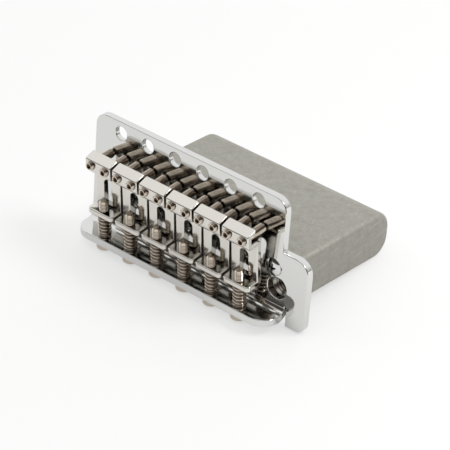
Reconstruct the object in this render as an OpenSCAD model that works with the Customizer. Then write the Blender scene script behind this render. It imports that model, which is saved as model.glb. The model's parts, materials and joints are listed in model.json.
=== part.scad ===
// Guitar tremolo bridge, vintage pattern: a bent steel plate with six pivot holes, a cast block
// screwed behind it, and six bent-sheet saddles on spring-loaded intonation screws.
// It lies on its side, on its screw heads and the far edge of the block, strings' side towards -Y.
// Each piece is drawn in the bridge's own frame: X across the strings towards the treble side,
// Y towards the neck, Z out of the plate's upper face, origin in the middle of the pivot holes.
// The last step, lay_down(), turns that frame so that the bridge lies as it rests.

/* [Strings] */
// Distance between neighbouring saddles and between neighbouring pivot holes
string_pitch = 10.8; // [10.5:0.1:11.3]

/* [Base plate] */
// Thickness of the steel sheet
plate_t = 2.4; // [1.6:0.1:3]
// Plate beyond the middle of the outermost pivot holes
plate_side = 10.3; // [9:0.1:13]
// Distance from the pivot holes to the front edge
plate_front = 3.8; // [3.4:0.1:6]
// Radius of the two front corners
plate_corner_r = 4.2; // [1:0.2:6]
// Diameter of the pivot holes
pivot_hole_d = 4.4; // [3.4:0.1:5]
// Depth of the countersink under each pivot hole
pivot_sink = 0.8; // [0.2:0.1:1.2]

/* [Arm tab] */
// Distance from the pivot holes back to the step where the tab begins
tab_step = 13; // [10:0.5:16]
// Distance from the middle of the plate to the tab's outer edge
tab_side = 47.1; // [45.6:0.1:52]
// Distance from the pivot holes back to the tab's rear edge
tab_rear = 36.7; // [36:0.1:36.9]
// Radius of the tab's front corner
tab_front_r = 4.6; // [1:0.2:6]
// Radius of the tab's rear corner
tab_rear_r = 3; // [0.6:0.2:4]
// Place of the arm hole across the strings
arm_x = 36.2; // [35.8:0.1:36.6]
// Distance from the pivot holes back to the arm hole
arm_back = 25.3; // [24.8:0.1:26]
// Diameter of the hole in the plate that the arm's collar passes
arm_hole_d = 7; // [6:0.1:7.6]
// Core diameter of the arm's thread in the block
arm_core_d = 5; // [4:0.1:5.6]
// Depth of the arm's thread below the plate
arm_depth = 26; // [14:1:34]

/* [Rear lip] */
// Distance from the pivot holes back to the middle of the lip's sheet
lip_back = 33.9; // [33.6:0.1:34.2]
// Height of the lip above the plate
lip_h = 8.8; // [8.4:0.1:10]
// Radius of the lip's free corners
lip_corner_r = 6; // [2:0.5:7]
// Inside radius of the bend between plate and lip
lip_bend_r = 2.4; // [1:0.2:2.6]
// Distance from the middle of the plate to the lip's treble end
lip_end = 39.6; // [38:0.2:40.4]
// Width of the relief slot between the lip and the tab
lip_relief = 0.6; // [0.4:0.1:1.2]
// Height of the intonation screws above the plate at the lip
lip_hole_z = 5.05; // [4.9:0.05:5.4]
// Diameter of the holes in the lip, loose enough for the screws to tip
lip_hole_d = 3.6; // [3.5:0.1:4]

/* [Block] */
// Distance from the pivot holes back to the block's front face
block_back = 15.3; // [15:0.1:16]
// Thickness of the block from front to rear
block_t = 15.2; // [14.6:0.1:16]
// Block beyond the middle of the outermost bass string hole
block_bass_side = 3.4; // [3.2:0.1:7]
// Block beyond the middle of the arm's hole
block_arm_side = 5; // [4.4:0.1:7.8]
// Distance from the plate's upper face down to the block's far end
block_deep = 46.9; // [40:0.5:52]
// Radius of the two long edges at the far end
block_nose_r = 6.2; // [3:0.2:7]
// Radius of the edges round the block's two ends
block_edge_r = 2.1; // [0.5:0.1:2.4]
// Distance between neighbouring string holes
hole_pitch = 10; // [9.8:0.1:10.1]
// Distance from the pivot holes back to the string holes and block screws
hole_back = 19.1; // [18.9:0.1:19.4]
// Diameter of the string holes
string_hole_d = 2.6; // [2:0.1:3]
// Diameter of the counterbore that takes the string's ball end
ball_hole_d = 4.8; // [4.6:0.1:5.2]
// Length of the narrow string hole under the plate
ball_seat = 12; // [6:1:20]
// Diameter of the holes for the tremolo springs' hooks
claw_hole_d = 3; // [2:0.1:3.6]
// Depth of the holes for the tremolo springs' hooks
claw_depth = 11; // [6:1:16]

/* [Block screws] */
// Diameter of the three screws that hold the block to the plate
block_screw_d = 3.6; // [3:0.1:4]
// Length of the block screws from the plate's upper face
block_screw_len = 13; // [8:1:18]
// Diameter of their countersunk heads
block_head_d = 5.6; // [5.2:0.1:6.2]
// Place of the treble block screw across the strings
block_screw_treble = 34.2; // [33.8:0.1:35]

/* [Saddles] */
// Gap between neighbouring saddles
saddle_gap = 0.7; // [0.3:0.05:1.2]
// Thickness of the saddle's sheet
saddle_t = 1.8; // [1.4:0.1:2]
// Angle at which the saddles and their screws rise towards the neck
saddle_tilt = 6; // [4:0.5:7]
// Largest further rise that the grub screws allow
tilt_travel = 3; // [1:0.5:4]
// Distance along the screw from the lip to the tab's rear face
saddle_back = 8.2; // [7.9:0.1:9]
// Length of the saddle from the tab's rear face to the head's front edge
saddle_len = 19.6; // [18.8:0.1:21]
// Length of the head from the riser's rear face to its front edge
head_len = 5.1; // [4.9:0.1:6.2]
// Height of the head's face above the screw
head_rise = 2.1; // [1.9:0.1:2.4]
// Depth of the web's face below the screw
web_drop = 2.05; // [1.9:0.05:2.3]
// Height of the tab above the screw
tab_rise = 2.2; // [2.1:0.1:2.6]
// Radius of the tab's two free corners
tab_corner_r = 1.4; // [0.4:0.1:1.8]
// Outside radius of the saddle's bends, but for the crease at its front edge
saddle_bend_r = 1.9; // [1.5:0.1:2]
// Outside radius of the crease between the head and its sloping front face
crease_r = 0.5; // [0.2:0.1:1.2]
// Depth of the sloping front face below the head's face
front_drop = 3.5; // [3:0.1:4]
// How far the sloping front face leans out at its lower edge
front_lean = 1.1; // [0.4:0.1:1.4]
// Width of the string slot
slot_w = 3.3; // [3:0.1:3.6]
// Web left between the riser and the slot's rounded end
slot_web = 3; // [2:0.1:4]

/* [Saddle screws] */
// Diameter of the grub screws
grub_d = 3; // [2.6:0.1:3.2]
// Length of the grub screws
grub_len = 10.5; // [9.6:0.1:10.8]
// Distance between a saddle's two grub screws
grub_pitch = 5.6; // [5.4:0.1:6.6]
// Distance from the head's front edge back to the grub screws
grub_back = 1.9; // [1.8:0.1:2.4]
// Width across the flats of the grub screws' sockets
socket_w = 1.5; // [1.2:0.1:1.6]
// Mean diameter of the intonation screws' thread
screw_d = 2.8; // [2.4:0.1:2.9]
// Length of the intonation screw from the middle of the lip to its free end
screw_len = 13.3; // [13.1:0.1:15]
// Diameter of the intonation screws' heads
screw_head_d = 5.5; // [5:0.1:6]
// Height of the straight part of the head
screw_head_h = 1.5; // [0.8:0.1:1.8]
// Height of the domed part of the head
screw_dome = 0.9; // [0.5:0.1:1.4]

/* [Springs] */
// Outside diameter of the springs
spring_d = 4.2; // [4.1:0.1:4.4]
// Diameter of the spring wire
wire_d = 0.5; // [0.4:0.05:0.5]
// Number of curls in a spring
curls = 6; // [4:1:6]

/* [Clearances] */
// Radial clearance of a screw in a hole that it turns or slides in
run_gap = 0.05; // [0.03:0.01:0.08]
// Gap between two pieces that touch when the bridge is in use
seat_gap = 0.05; // [0.02:0.01:0.1]
// Height of the grub screws' tips above the plate
tip_gap = 0.25; // [0.2:0.01:0.3]

/* [Hidden] */
// Number of strings, each with its own saddle
string_count = 6;
$fn = 48;

// Colours
chrome = "#d6d6d4";
satin = "#d8d5ce";
nickel = "#a89a86";
cast = "#a19f96";

// Points along a quarter bend of sheet, and a cutter's overshoot past a face
bend_steps = 6;
past = 1;

// Plate and lip
plate_w = (string_count - 1) * string_pitch + 2 * plate_side;
lip_inner = lip_back - plate_t / 2;
lip_outer = lip_back + plate_t / 2;
bend_back = lip_inner - lip_bend_r;
sink_d = block_head_d + 2 * seat_gap;
sink_depth = (block_head_d - block_screw_d) / 2;

// Block
block_rear = block_back + block_t;
block_bass = (string_count - 1) / 2 * hole_pitch + block_bass_side;
block_treble = arm_x + block_arm_side;
block_w = block_bass + block_treble;
block_mid = (block_back + block_rear) / 2;
claw_count = string_count - 1;

// Saddle, along the screw (s) and away from the plate (h), both measured from the lip hole
saddle_w = string_pitch - saddle_gap;
tab_front = saddle_back + saddle_t;
head_s = saddle_back + saddle_len;
riser_s = head_s - head_len + saddle_t / 2;
grub_s = head_s - grub_back;
saddle_path = [
    [saddle_back + saddle_t / 2, tab_rise],
    [saddle_back + saddle_t / 2, -web_drop - saddle_t / 2],
    [riser_s, -web_drop - saddle_t / 2],
    [riser_s, head_rise - saddle_t / 2],
    [head_s - 1.5 * saddle_t, head_rise - saddle_t / 2]
];
// The head's front end, whose crease is sharper than the sheet's bends
front_slope = front_lean / front_drop;
front_end = rounded([
    [head_s - 1.4 * saddle_t, head_rise, 0],
    [head_s, head_rise, crease_r],
    [head_s + front_lean, head_rise - front_drop, 0],
    [head_s - saddle_t + front_lean, head_rise - front_drop, 0],
    [head_s - (1 - front_slope) * saddle_t, head_rise - saddle_t, 0],
    [head_s - 1.4 * saddle_t, head_rise - saddle_t, 0]
]);

// Grub screws: the tip stands on the plate, and the length sets where the head ends
grub_r = grub_d / 2 - run_gap;
tip_r = grub_r * 0.6;
tip_h = (tip_gap + tip_r * sin(saddle_tilt) - lip_hole_z - grub_s * sin(saddle_tilt))
    / cos(saddle_tilt);

// Intonation screws: the head's rim clears the lip at the steepest tilt
steepest = saddle_tilt + tilt_travel;
screw_seat = -(plate_t / 2 + seat_gap + screw_head_d / 2 * sin(steepest)) / cos(steepest);
dome_r = (pow(screw_head_d / 2, 2) + pow(screw_dome, 2)) / (2 * screw_dome);
dome_s = screw_seat - screw_head_h - screw_dome + dome_r;

// Springs, between the lip's inner face and the saddle's tab
coil_r = (spring_d - wire_d) / 2;
coil_sides = 6;
coil_rings = 8;
spring_start = plate_t / 2 / cos(saddle_tilt) + seat_gap;
spring_end = saddle_back - seat_gap;
coil_start = spring_start + wire_d;
coil_pitch = (spring_end - spring_start - 2 * wire_d) / curls;

// How the bridge lies: a flat floor touches the heads' domes and the block's far rear edge
dome_y = -lip_back + dome_s * cos(saddle_tilt);
dome_z = lip_hole_z + dome_s * sin(saddle_tilt);
edge_y = -block_rear + block_nose_r;
edge_z = -block_deep + block_nose_r;
lie_angle = atan2(dome_z - edge_z, dome_y - edge_y)
    - acos((dome_r - block_nose_r) / norm([dome_y - edge_y, dome_z - edge_z]));

function string_x(i) = (i - (string_count + 1) / 2) * string_pitch;
function hole_x(i) = (i - (string_count + 1) / 2) * hole_pitch;
function unit(v) = v / norm(v);
function heading(a, b) = atan2(b.y - a.y, b.x - a.x);
function turn(a) = a > 180 ? a - 360 : a < -180 ? a + 360 : a;

// Points of a polygon whose corners [x, y, radius] are rounded
function rounded(corners) = [
    for (i = [0:len(corners) - 1])
        let (
            n = len(corners),
            p = corners[i],
            before = heading(corners[(i + n - 1) % n], p),
            bend = turn(heading(p, corners[(i + 1) % n]) - before),
            side = sign(bend),
            reach = p[2] * tan(abs(bend) / 2),
            centre = [p.x, p.y] - reach * [cos(before), sin(before)]
                + side * p[2] * [-sin(before), cos(before)]
        )
        for (k = [0:p[2] > 0 ? bend_steps : 0])
            let (a = before + bend * k / bend_steps)
                centre + side * p[2] * [sin(a), -cos(a)]
];

// Places and headings along an open path whose corners are bent to radius r
function bent(path, r) = [
    [path[0], heading(path[0], path[1])],
    for (i = [1:len(path) - 2])
        let (
            before = heading(path[i - 1], path[i]),
            bend = turn(heading(path[i], path[i + 1]) - before),
            side = sign(bend),
            centre = path[i] - r * tan(abs(bend) / 2) * [cos(before), sin(before)]
                + side * r * [-sin(before), cos(before)]
        )
        for (k = [0:bend_steps])
            let (a = before + bend * k / bend_steps)
                [centre + side * r * [sin(a), -cos(a)], a],
    [path[len(path) - 1], heading(path[len(path) - 2], path[len(path) - 1])]
];

// Outline of sheet metal of thickness t bent along a path, with its own points for the far end
module sheet(path, r, t, end = []) {
    spots = bent(path, r);
    last = len(spots) - 1;
    polygon(concat(
        [for (s = spots) s[0] + t / 2 * [-sin(s[1]), cos(s[1])]],
        end,
        [for (i = [last:-1:0]) spots[i][0] - t / 2 * [-sin(spots[i][1]), cos(spots[i][1])]]
    ));
}

// Turns the bridge's own frame so that the bridge lies on its side
module lay_down() rotate([90 - lie_angle, 0, 0]) children();

// A string's own frame: X across, Y along the intonation screw, Z away from the plate
module at_string(i) {
    lay_down()
        translate([string_x(i), -lip_back, lip_hole_z])
            rotate([saddle_tilt, 0, 0])
                children();
}

// A shape drawn in the plane across the strings, extruded to width w about the middle
module across(w) {
    rotate([90, 0, 90]) translate([0, 0, -w / 2]) linear_extrude(w) children();
}

module each_pivot() {
    for (i = [1:string_count]) translate([string_x(i), 0, 0]) children();
}

module each_string_hole() {
    for (i = [1:string_count]) translate([hole_x(i), -hole_back, 0]) children();
}

module each_block_screw() {
    for (x = [-2 * hole_pitch, 0, block_screw_treble]) translate([x, -hole_back, 0]) children();
}

module plate_outline() {
    polygon(rounded([
        [-plate_w / 2, plate_front, plate_corner_r],
        [-plate_w / 2, -bend_back, 0],
        [lip_end + lip_relief, -bend_back, 0],
        [lip_end + lip_relief, -tab_rear, 0],
        [tab_side, -tab_rear, tab_rear_r],
        [tab_side, -tab_step, tab_front_r],
        [plate_w / 2, -tab_step, 0],
        [plate_w / 2, plate_front, plate_corner_r]
    ]));
}

// The lip and the strip of plate that it bends out of
module lip() {
    lip_w = plate_w / 2 + lip_end;
    middle = (lip_end - plate_w / 2) / 2;
    base = [-bend_back + plate_t, -plate_t / 2];
    intersection() {
        translate([middle, 0, 0])
            across(lip_w)
                sheet(
                    [base, [-lip_back, -plate_t / 2], [-lip_back, lip_h]],
                    lip_bend_r + plate_t / 2, plate_t
                );
        rotate([90, 0, 0])
            translate([0, 0, -past])
                linear_extrude(lip_outer + 2 * past)
                    polygon(rounded([
                        [-plate_w / 2, -plate_t - past, 0],
                        [lip_end, -plate_t - past, 0],
                        [lip_end, lip_h, lip_corner_r],
                        [-plate_w / 2, lip_h, lip_corner_r]
                    ]));
    }
}

module pivot_hole() {
    translate([0, 0, -plate_t - past]) cylinder(d = pivot_hole_d, h = plate_t + 2 * past);
    translate([0, 0, -plate_t - past])
        cylinder(d1 = pivot_hole_d + 2 * (pivot_sink + past), d2 = pivot_hole_d,
            h = pivot_sink + past);
}

module block_screw_hole() {
    translate([0, 0, -plate_t - past])
        cylinder(d = block_screw_d + 2 * run_gap, h = plate_t + 2 * past);
    translate([0, 0, -sink_depth])
        cylinder(d1 = sink_d - 2 * sink_depth, d2 = sink_d + 2 * past, h = sink_depth + past);
}

module base_plate() {
    color(chrome)
        lay_down()
            difference() {
                union() {
                    translate([0, 0, -plate_t]) linear_extrude(plate_t) plate_outline();
                    lip();
                }
                each_pivot() pivot_hole();
                each_block_screw() block_screw_hole();
                each_string_hole()
                    translate([0, 0, -plate_t - past])
                        cylinder(d = string_hole_d, h = plate_t + 2 * past);
                translate([arm_x, -arm_back, -plate_t - past])
                    cylinder(d = arm_hole_d, h = plate_t + 2 * past);
                for (i = [1:string_count])
                    translate([string_x(i), -lip_inner + past, lip_hole_z])
                        rotate([90, 0, 0])
                            cylinder(d = lip_hole_d, h = plate_t + 2 * past);
            }
}

// A rectangle from the origin with two or four rounded corners
module rounded_rect(w, h, r) {
    translate([r, 0]) square([w - 2 * r, h]);
    translate([0, r]) square([w, h - 2 * r]);
    for (x = [r, w - r], y = [r, h - r]) translate([x, y]) circle(r);
}

// The block without its holes: a prism whose far end is rounded along both long edges
module block_body() {
    shaft = block_deep - block_nose_r;
    translate([-block_bass, -block_rear, -shaft])
        linear_extrude(shaft - plate_t)
            rounded_rect(block_w, block_t, block_edge_r);
    for (y = [-block_back - block_nose_r, -block_rear + block_nose_r])
        translate([-block_bass, y, -shaft])
            rotate([0, 90, 0])
                rotate_extrude()
                    intersection() {
                        translate([-block_nose_r, 0])
                            rounded_rect(2 * block_nose_r, block_w, block_edge_r);
                        square([block_nose_r, block_w]);
                    }
    translate([-block_bass, -block_back - block_nose_r, -block_deep])
        rotate([90, 0, 0])
            linear_extrude(block_t - 2 * block_nose_r)
                rounded_rect(block_w, block_nose_r + 2 * block_edge_r, block_edge_r);
}

module tremolo_block() {
    color(cast)
        lay_down()
            difference() {
                block_body();
                each_string_hole() {
                    translate([0, 0, -block_deep - past])
                        cylinder(d = string_hole_d, h = block_deep + 2 * past);
                    translate([0, 0, -block_deep - past])
                        cylinder(d = ball_hole_d, h = block_deep - plate_t - ball_seat + past);
                }
                each_block_screw()
                    translate([0, 0, -block_screw_len - plate_t])
                        cylinder(d = block_screw_d + 2 * run_gap, h = block_screw_len + past);
                translate([arm_x, -arm_back, -plate_t - arm_depth])
                    cylinder(d = arm_core_d, h = arm_depth + past);
                for (i = [1:claw_count])
                    translate([(i - (claw_count + 1) / 2) * hole_pitch, -block_mid,
                        -block_deep - past])
                        cylinder(d = claw_hole_d, h = claw_depth + past);
            }
}

module block_screws() {
    color(nickel)
        lay_down()
            each_block_screw()
                difference() {
                    union() {
                        translate([0, 0, -block_screw_len])
                            cylinder(d = block_screw_d, h = block_screw_len);
                        translate([0, 0, -sink_depth])
                            cylinder(d1 = block_screw_d, d2 = block_head_d, h = sink_depth);
                    }
                    cross_recess(block_screw_d, sink_depth);
                }
}

// Two crossed slots sunk from the plane z = 0
module cross_recess(w, depth) {
    slot = w / 5;
    for (a = [0, 90])
        rotate(a)
            translate([-w / 2, -slot / 2, -depth])
                cube([w, slot, depth + past]);
}

// Cuts one free corner of the tab round; the corner is at the origin, the metal at -X and -Z
module tab_corner_cut() {
    rotate([90, 0, 0])
        translate([-tab_corner_r, -tab_corner_r, -saddle_t - past])
            linear_extrude(saddle_t + 2 * past)
                difference() {
                    square(tab_corner_r + past);
                    circle(tab_corner_r);
                }
}

module saddle(i) {
    slot_top = head_s - head_len - slot_web - slot_w / 2;
    color(satin)
        at_string(i)
            difference() {
                across(saddle_w)
                    sheet(saddle_path, saddle_bend_r - saddle_t / 2, saddle_t, front_end);
                for (side = [0, 1])
                    mirror([side, 0, 0])
                        translate([saddle_w / 2, saddle_back, tab_rise])
                            tab_corner_cut();
                translate([0, saddle_back - past, 0])
                    rotate([-90, 0, 0])
                        cylinder(d = screw_d + 2 * run_gap, h = saddle_t + 2 * past);
                for (x = [-grub_pitch / 2, grub_pitch / 2])
                    translate([x, grub_s, -web_drop])
                        cylinder(d = grub_d, h = web_drop + head_rise + past);
                translate([0, 0, -web_drop - saddle_t - past]) {
                    translate([0, slot_top, 0]) cylinder(d = slot_w, h = saddle_t + 2 * past);
                    translate([-slot_w / 2, tab_front + saddle_t / 2, 0])
                        cube([slot_w, slot_top - tab_front - saddle_t / 2, saddle_t + 2 * past]);
                }
            }
}

module intonation_screw(i) {
    color(nickel)
        at_string(i)
            difference() {
                union() {
                    translate([0, screw_seat - screw_head_h, 0])
                        rotate([-90, 0, 0]) {
                            cylinder(d = screw_head_d, h = screw_head_h);
                            cylinder(d = screw_d, h = screw_len - screw_seat + screw_head_h);
                        }
                    intersection() {
                        translate([0, dome_s, 0]) sphere(dome_r);
                        translate([0, screw_seat - screw_head_h / 2, 0])
                            rotate([90, 0, 0])
                                cylinder(d = screw_head_d, h = screw_head_h + screw_dome);
                    }
                }
                translate([0, screw_seat - screw_head_h - screw_dome, 0])
                    rotate([90, 45, 0])
                        cross_recess(screw_head_d * 0.55, screw_head_h);
            }
}

module grub_screw(i, side) {
    chamfer = grub_r - tip_r;
    color(nickel)
        at_string(i)
            translate([side * grub_pitch / 2, grub_s, tip_h])
                difference() {
                    union() {
                        cylinder(r1 = tip_r, r2 = grub_r, h = chamfer);
                        translate([0, 0, chamfer]) cylinder(r = grub_r, h = grub_len - chamfer);
                    }
                    translate([0, 0, grub_len - socket_w])
                        cylinder(d = socket_w / cos(30), h = socket_w + past, $fn = 6);
                }
}

// Middle line of the spring wire: a straight end, the coil, and a straight end
spring_path = concat(
    [[coil_r, spring_start, 0]],
    [
        for (k = [0:curls * coil_rings])
            let (a = 360 * k / coil_rings)
                [coil_r * cos(a), coil_start + coil_pitch * k / coil_rings, coil_r * sin(a)]
    ],
    [[coil_r, spring_end, 0]]
);

// Direction of the wire at point k, half-way between the two stretches that meet there
function wire_dir(k) =
    let (n = len(spring_path) - 1)
        unit(
            (k > 0 ? unit(spring_path[k] - spring_path[k - 1]) : [0, 0, 0])
            + (k < n ? unit(spring_path[k + 1] - spring_path[k]) : [0, 0, 0])
        );

// One ring of points round the wire, square to its direction
function wire_ring(k) =
    let (
        p = spring_path[k],
        d = wire_dir(k),
        v = unit(cross(d, [p.x, 0, p.z])),
        u = cross(v, d)
    )
        [
            for (j = [0:coil_sides - 1])
                let (a = 360 * j / coil_sides)
                    p + wire_d / 2 * (cos(a) * u + sin(a) * v)
        ];

module spring(i) {
    rings = len(spring_path);
    m = coil_sides;
    skin = [
        for (k = [0:rings - 2], j = [0:m - 1])
            let (a = k * m + j, b = k * m + (j + 1) % m)
                each [[a, a + m, b], [b, a + m, b + m]]
    ];
    caps = [
        for (j = [1:m - 2])
            each [[0, j, j + 1], [(rings - 1) * m, (rings - 1) * m + j + 1, (rings - 1) * m + j]]
    ];
    color(nickel)
        at_string(i)
            polyhedron([for (k = [0:rings - 1]) each wire_ring(k)], concat(skin, caps));
}

// Least gap between neighbouring curls, measured over all points at least half a curl apart
spring_gap = min([
    for (a = [0:len(spring_path) - 1], b = [a + coil_rings / 2:1:len(spring_path) - 1])
        norm(spring_path[a] - spring_path[b]) - wire_d
]);
echo(str("spring: least gap of the wire to itself ", spring_gap, " mm"));
echo(str("lie angle ", lie_angle, " degrees"));

base_plate();
tremolo_block();
block_screws();
for (i = [1:string_count]) {
    saddle(i);
    intonation_screw(i);
    spring(i);
    grub_screw(i, -1);
    grub_screw(i, 1);
}
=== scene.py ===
"""Looks of a guitar tremolo bridge that lies on its side, built round its fixed frame.

The plate, block and saddles are the frame's own shapes with their edges rounded. Screws get
threads and drives, springs get smooth wire, and every piece gets the finish of the real one.
"""

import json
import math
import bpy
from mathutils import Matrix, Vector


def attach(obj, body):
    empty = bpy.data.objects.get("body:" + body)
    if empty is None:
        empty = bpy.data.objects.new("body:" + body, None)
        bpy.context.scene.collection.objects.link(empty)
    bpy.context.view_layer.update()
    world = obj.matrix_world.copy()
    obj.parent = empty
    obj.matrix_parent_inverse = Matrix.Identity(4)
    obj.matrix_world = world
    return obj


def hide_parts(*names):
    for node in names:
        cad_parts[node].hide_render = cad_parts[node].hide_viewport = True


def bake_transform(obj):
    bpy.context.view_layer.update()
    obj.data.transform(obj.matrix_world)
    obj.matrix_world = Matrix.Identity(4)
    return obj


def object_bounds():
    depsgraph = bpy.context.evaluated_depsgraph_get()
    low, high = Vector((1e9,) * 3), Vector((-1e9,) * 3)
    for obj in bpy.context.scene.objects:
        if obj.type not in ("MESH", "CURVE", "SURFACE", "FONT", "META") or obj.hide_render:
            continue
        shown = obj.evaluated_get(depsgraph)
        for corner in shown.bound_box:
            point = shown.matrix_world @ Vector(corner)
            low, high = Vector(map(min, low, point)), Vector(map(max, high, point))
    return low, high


bl_info = {
    "name": "Tremolo bridge looks",
    "version": (1, 0, 0),
    "blender": (4, 5, 0),
    "location": "3D View > Sidebar > Bridge",
    "description": "Threads, springs, rounded edges and metal finishes for a tremolo bridge",
    "category": "Object",
}

import bmesh
import bpy
from mathutils import Matrix, Vector

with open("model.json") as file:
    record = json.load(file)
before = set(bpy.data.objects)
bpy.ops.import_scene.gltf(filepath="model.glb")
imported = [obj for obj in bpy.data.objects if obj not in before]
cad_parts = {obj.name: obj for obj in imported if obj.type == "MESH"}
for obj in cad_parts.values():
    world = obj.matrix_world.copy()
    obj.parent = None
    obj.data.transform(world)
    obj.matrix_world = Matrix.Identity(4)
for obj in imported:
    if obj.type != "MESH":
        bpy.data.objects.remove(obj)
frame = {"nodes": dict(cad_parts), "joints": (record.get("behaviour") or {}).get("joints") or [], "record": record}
CAD_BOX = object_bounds()

MM = 0.001
STRINGS = range(1, 7)
SIDES = ("left", "right")
JOINTS = {joint["name"]: joint for joint in frame["joints"]}
MOUNTS = {mount["name"]: mount for mount in frame["record"]["mounts"]}
NODES = frame["nodes"]


def linear(hex_colour):
    """Linear RGB of an sRGB colour written as #rrggbb."""
    levels = [int(hex_colour[k : k + 2], 16) / 255 for k in (1, 3, 5)]
    return tuple(v / 12.92 if v <= 0.04045 else ((v + 0.055) / 1.055) ** 2.4 for v in levels)


def rgba(colour):
    """A colour property, or a colour written as #rrggbb, with full alpha."""
    return (*(linear(colour) if isinstance(colour, str) else colour), 1.0)


def length(description, default_mm, name):
    """A length in millimetres that the sidebar shows as a distance."""
    return bpy.props.FloatProperty(
        name=name, description=description, default=default_mm * MM, min=0.0,
        precision=5, subtype="DISTANCE", unit="LENGTH",
    )


def colour(description, default, name):
    """A colour whose default is written as #rrggbb."""
    return bpy.props.FloatVectorProperty(
        name=name, description=description, default=linear(default),
        size=3, min=0.0, max=1.0, subtype="COLOR",
    )


class BridgeSizes(bpy.types.PropertyGroup):
    """Sizes of what this script adds to the frame."""

    plate_edge: length("Radius that the plating leaves on the plate's edges", 0.25, "Plate edge")
    saddle_edge: length("Radius on the sheared edges of the saddles", 0.4, "Saddle edge")
    fine_edge: length("Radius on the rims of slots and close holes", 0.07, "Fine edge")
    block_edge: length("Radius on the block's edges, but for its far end", 0.25, "Block edge")
    pitch: length("Pitch of the small screws' threads", 0.5, "Thread pitch")
    thread_depth: length("Depth of the small screws' threads", 0.27, "Thread depth")
    grub_chamfer: length("Chamfer at both ends of a grub screw", 0.3, "Grub screw chamfer")
    socket_w: length("Width across the flats of a grub screw's socket", 1.5, "Socket width")
    socket_depth: length("Depth of a grub screw's socket", 1.5, "Socket depth")
    cross_w: length("Width across a screw head's cross recess", 3.0, "Cross recess")
    cross_slot: length("Width of one slot of the cross recess", 0.62, "Cross slot")
    cross_depth: length("Depth of the cross recess", 1.5, "Cross depth")
    wire_d: length("Diameter of the spring wire", 0.5, "Spring wire")
    arm_pitch: length("Pitch of the arm's thread in the block", 1.0, "Arm thread pitch")
    arm_thread_d: length("Outer diameter of the arm's thread", 6.0, "Arm thread")
    arm_sink_d: length("Diameter of the cone where the arm's thread begins", 6.7, "Arm cone")
    curls: bpy.props.IntProperty(
        name="Curls", description="Curls of wire in a spring", default=6, min=2, max=12
    )


class BridgeColours(bpy.types.PropertyGroup):
    """Colours of the finishes and the studio."""

    chrome: colour("Bright chrome plating on the plate", "#dbdbd9", "Plate chrome")
    saddle: colour("Warmer chrome plating on the saddles", "#dcd9d2", "Saddle chrome")
    nickel: colour("Nickel plating on screws and springs", "#d2c6b7", "Nickel")
    # Painted shade: the colour that the chrome darkens to in its corners and gaps
    film: colour("Dark film in the plated parts' corners", "#463e37", "Film")
    # Painted shade in threads, sockets, hollows and deep in the arm's hole, which on the nickel also colours
    # random patches of tarnish
    grime: colour("Oil and dust in the threads and sockets", "#4a3829", "Grime")
    cast: colour("Bare die-cast metal of the block", "#a5a39a", "Cast metal")
    cast_dark: colour("Darker flow marks in the cast skin", "#8b8981", "Flow marks")
    cast_worn: colour("Bright metal where the cast skin is scuffed", "#d9d7d0", "Scuffs")
    floor: colour("White paper that the bridge lies on", "#fcfcfb", "Floor")
    room: colour("Dim room that shows through the tent's openings", "#4b4642", "Room")


class BridgeStudio(bpy.types.PropertyGroup):
    """Light and camera."""

    key: bpy.props.FloatProperty(
        name="Key", description="Power of the lamp above and behind", default=2.0,
        min=0.0, subtype="POWER", unit="POWER",
    )
    world: bpy.props.FloatProperty(
        name="Tent", description="Brightness of the white tent round the table",
        default=1.0, min=0.0, max=1.5,
    )
    lens: bpy.props.FloatProperty(
        name="Lens", description="Focal length on a 36 mm sensor, in millimetres",
        default=185.1, min=20.0, max=400.0,
    )


def in_use(sockets, key):
    """The socket with that number, or the one in use with that name."""
    if isinstance(key, int):
        return sockets[key]
    return next(socket for socket in sockets if socket.name == key and socket.enabled)


def put(tree, value, target):
    """Gives a socket a plain value, or a link from another socket or from a node's result."""
    if isinstance(value, bpy.types.Node):
        value = next(socket for socket in value.outputs if socket.enabled)
    if isinstance(value, bpy.types.NodeSocket):
        tree.links.new(value, target)
    else:
        target.default_value = value


def add(tree, kind, inputs=None, **settings):
    """Adds a node with its settings and its inputs' values or links."""
    node = tree.nodes.new(kind)
    for name, value in settings.items():
        setattr(node, name, value)
    for key, value in (inputs or {}).items():
        put(tree, value, in_use(node.inputs, key))
    return node


def link_object(obj):
    """Puts an object in the scene."""
    bpy.context.scene.collection.objects.link(obj)
    return obj


# Places


def string_frame(i):
    """A string's own frame at rest: X across, Y along its screw, Z away from the plate."""
    origin = Vector(JOINTS[f"height_{i}"]["pos_m"])
    along = Vector(JOINTS[f"slide_{i}"]["axis"]).normalized()
    away = Vector(JOINTS[f"grub_{i}_left"]["axis"]).normalized()
    across = along.cross(away)
    return Matrix.Translation(origin) @ Matrix((across, along, away)).transposed().to_4x4()


def plate_frame():
    """The plate's frame: X along the pivot holes, Y to the neck, Z out of its upper face."""
    away = Vector(MOUNTS["pivot_holes_outer"]["axis"]).normalized()
    across = Vector((1, 0, 0))
    return Matrix((across, away.cross(across), away)).transposed().to_4x4()


def span(node, place):
    """Lowest and highest corner of a CAD node in another frame."""
    back = place.inverted()
    points = [back @ v.co for v in NODES[node].data.vertices]
    low = Vector([min(p[k] for p in points) for k in range(3)])
    high = Vector([max(p[k] for p in points) for k in range(3)])
    return low, high


# Mesh helpers

# Points closer than this are one, and faces that turn by less than FLAT are one face
WELD = 2e-6
FLAT = math.radians(0.4)
# Sharp edges turn by more than these angles, on plated parts and on the casting
CREASE = math.radians(32)
CAST_CREASE = math.radians(17)
# Points round a turned shape and round one turn of a thread
AROUND = 36
ROUNDING_STEPS = 4


def plain_mesh(bm, name):
    """The mesh of a bmesh, which is freed."""
    mesh = bpy.data.meshes.new(name)
    bm.to_mesh(mesh)
    bm.free()
    return mesh


def mesh_from(bm, name):
    """A plain mesh with outward faces, smooth but for its creases."""
    bmesh.ops.recalc_face_normals(bm, faces=bm.faces)
    return smooth(plain_mesh(bm, name))


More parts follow.
